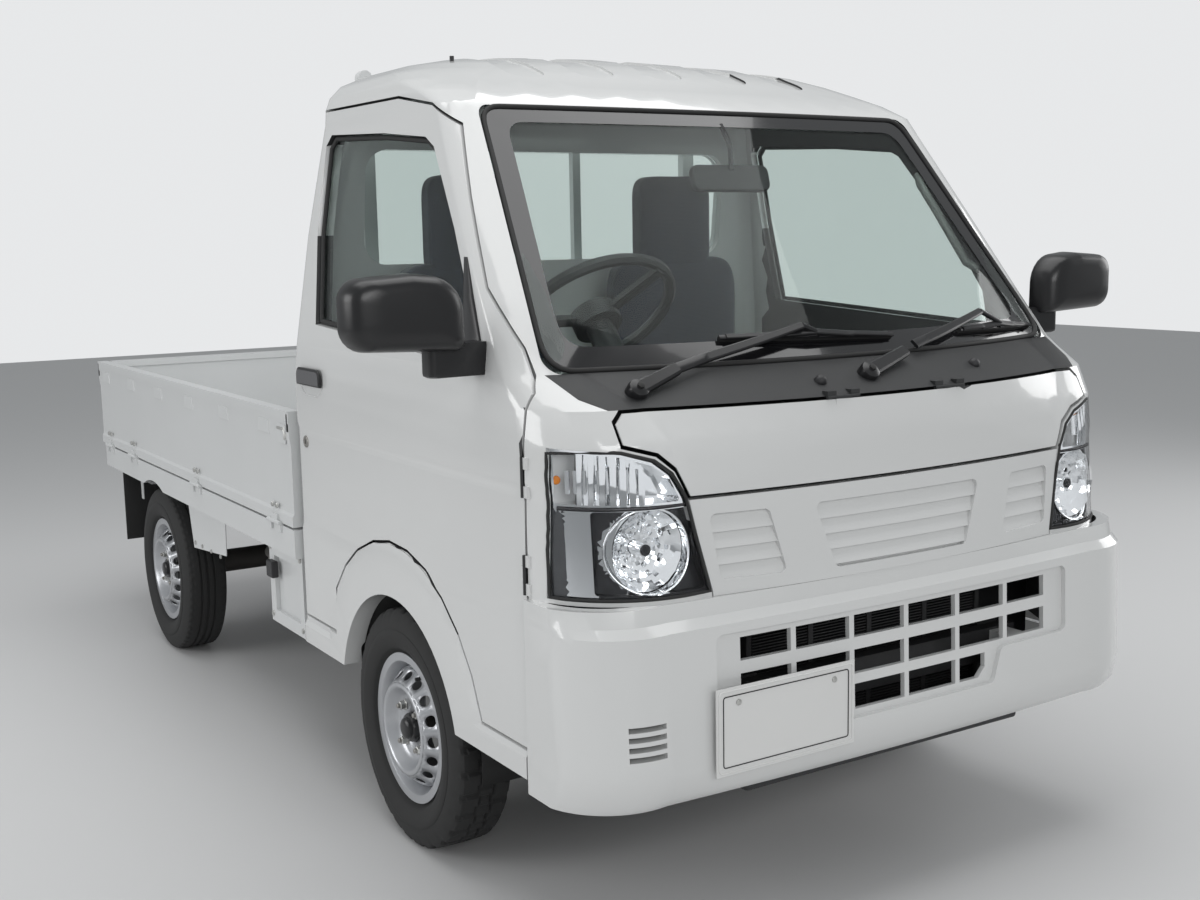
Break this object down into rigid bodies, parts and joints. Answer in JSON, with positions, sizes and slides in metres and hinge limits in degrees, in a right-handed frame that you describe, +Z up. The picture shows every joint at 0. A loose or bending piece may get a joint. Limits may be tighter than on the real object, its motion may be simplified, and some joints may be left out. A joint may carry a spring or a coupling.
{
  "type": "kei truck",
  "caption": "Small cab-over pickup truck with a two-seat cab, drop-side cargo bed, headboard guard and steel wheels.",
  "frame": {"origin": "on the ground under the middle of the truck", "axes": "+Z up, -Y towards the nose, +X to the vehicle left"},
  "size_m": [2.015, 3.3973, 1.765],
  "materials": {
    "paint": "gloss",
    "black_plastic": "grained",
    "grey_plastic": "grained",
    "glass": "clear",
    "lens": "clear",
    "lamp_bowl": "mirror",
    "lamp_red": "gloss",
    "plate": "satin",
    "chassis": "satin",
    "rim": "satin silver",
    "tyre": "matt",
    "iron": "rough",
    "steel": "worn",
    "seat_cloth": "woven",
    "rubber": "matt"
  },
  "bodies": {
    "truck": {"antenna": "black_plastic", "bed_floor": "paint", "bed_joists": "paint", "bumper_beam": "chassis", "cab_floor": "chassis", "cab_shell": "paint", "chassis_rails": "chassis", "cowl": "grey_plastic", "crossmembers": "chassis", "dashboard": "grey_plastic", "engine": "iron", "exhaust": "steel", "front_bumper": "paint", "front_suspension": "chassis", "fuel_tank": "chassis", "grille_panel": "paint", "guard_frame": "paint", "headboard": "paint", "headlamp_left": "lamp_bowl", "headlamp_lens_left": "lens", "headlamp_lens_right": "lens", "headlamp_right": "lamp_bowl", "leaf_springs": "chassis", "mud_flaps": "rubber", "number_plate": "plate", "propshaft": "steel", "rear_axle": "iron", "rear_window": "glass", "seat_left": "seat_cloth", "seat_right": "seat_cloth", "spare_rim": "rim", "spare_tyre": "tyre", "steering_wheel": "black_plastic", "strut_springs": "chassis", "tail_lamps": "lamp_red", "windscreen": "glass", "wipers": "black_plastic"},
    "door_left": {"door_left": "paint", "door_glass_left": "glass", "mirror_left": "black_plastic", "door_handle_left": "black_plastic"},
    "side_gate_left": {"side_gate_left": "paint"},
    "knuckle_left": {"knuckle_left": "iron"},
    "wheel_front_left": {"rim_front_left": "rim", "tyre_front_left": "tyre"},
    "wheel_rear_left": {"rim_rear_left": "rim", "tyre_rear_left": "tyre"},
    "door_right": {"door_right": "paint", "door_glass_right": "glass", "mirror_right": "black_plastic", "door_handle_right": "black_plastic"},
    "side_gate_right": {"side_gate_right": "paint"},
    "knuckle_right": {"knuckle_right": "iron"},
    "wheel_front_right": {"rim_front_right": "rim", "tyre_front_right": "tyre"},
    "wheel_rear_right": {"rim_rear_right": "rim", "tyre_rear_right": "tyre"},
    "front_lid": {"front_lid": "paint"},
    "tailgate": {"tailgate": "paint"}
  },
  "joints": [
    {"name": "door_left_hinge", "type": "hinge", "parent": "truck", "child": "door_left", "pos_m": [0.7305, -1.455, 0.8], "axis": [0, 0, -1], "range_deg": [0, 65]},
    {"name": "side_gate_left_hinge", "type": "hinge", "parent": "truck", "child": "side_gate_left", "pos_m": [0.7435, 0.7, 0.626], "axis": [0, 1, 0], "range_deg": [0, 160]},
    {"name": "steer_left", "type": "hinge", "parent": "truck", "child": "knuckle_left", "pos_m": [0.5705, -0.867, 0.2885], "axis": [-0.1293, 0, 0.9916], "range_deg": [-35, 35]},
    {"name": "wheel_front_left_spin", "type": "hinge", "parent": "knuckle_left", "child": "wheel_front_left", "pos_m": [0.6525, -0.867, 0.2685], "axis": [1, 0, 0], "continuous": true},
    {"name": "wheel_rear_left_spin", "type": "hinge", "parent": "truck", "child": "wheel_rear_left", "pos_m": [0.6525, 1.038, 0.2685], "axis": [1, 0, 0], "continuous": true},
    {"name": "door_right_hinge", "type": "hinge", "parent": "truck", "child": "door_right", "pos_m": [-0.7305, -1.455, 0.8], "axis": [0, 0, 1], "range_deg": [0, 65]},
    {"name": "side_gate_right_hinge", "type": "hinge", "parent": "truck", "child": "side_gate_right", "pos_m": [-0.7435, 0.7, 0.626], "axis": [0, -1, 0], "range_deg": [0, 160]},
    {"name": "steer_right", "type": "hinge", "parent": "truck", "child": "knuckle_right", "pos_m": [-0.5705, -0.867, 0.2885], "axis": [0.1293, 0, 0.9916], "range_deg": [-35, 35]},
    {"name": "wheel_front_right_spin", "type": "hinge", "parent": "knuckle_right", "child": "wheel_front_right", "pos_m": [-0.6525, -0.867, 0.2685], "axis": [1, 0, 0], "continuous": true},
    {"name": "wheel_rear_right_spin", "type": "hinge", "parent": "truck", "child": "wheel_rear_right", "pos_m": [-0.6525, 1.038, 0.2685], "axis": [1, 0, 0], "continuous": true},
    {"name": "tailgate_hinge", "type": "hinge", "parent": "truck", "child": "tailgate", "pos_m": [0, 1.692, 0.626], "axis": [-1, 0, 0], "range_deg": [0, 160]},
    {"name": "front_lid_hinge", "type": "hinge", "parent": "truck", "child": "front_lid", "pos_m": [0, -1.6495, 1.032], "axis": [-1, 0, 0], "range_deg": [0, 55]}
  ],
  "couplings": [
    {"joint": "steer_left", "follows": "steer_right", "ratio": 1}
  ]
}
